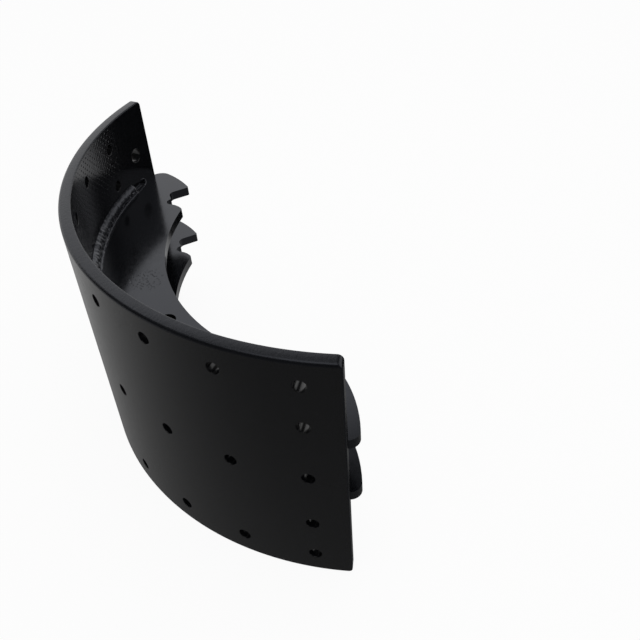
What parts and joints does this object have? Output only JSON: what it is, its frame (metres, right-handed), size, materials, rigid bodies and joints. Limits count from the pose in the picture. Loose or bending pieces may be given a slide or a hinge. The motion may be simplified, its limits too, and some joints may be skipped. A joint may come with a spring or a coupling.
{
  "type": "drum brake shoe",
  "caption": "Black welded drum brake shoe without lining: a curved rivet-holed table on twin crescent webs with an open roller seat and a convex anchor foot.",
  "frame": {"origin": "centre of the footprint's box, on the surface that the shoe stands on", "axes": "+Z along the drum axis, +X towards the anchor end, -Y the way the lining face looks"},
  "size_m": [0.3172, 0.1092, 0.168],
  "materials": {
    "black_paint": "semi-gloss",
    "painted_weld": "semi-gloss over a rippled bead"
  },
  "bodies": {
    "root": {"table": "black_paint", "web_upper": "black_paint", "web_lower": "black_paint", "weld_upper_anchor": "painted_weld", "weld_upper_cam": "painted_weld", "weld_lower_anchor": "painted_weld", "weld_lower_cam": "painted_weld"}
  },
  "joints": []
}
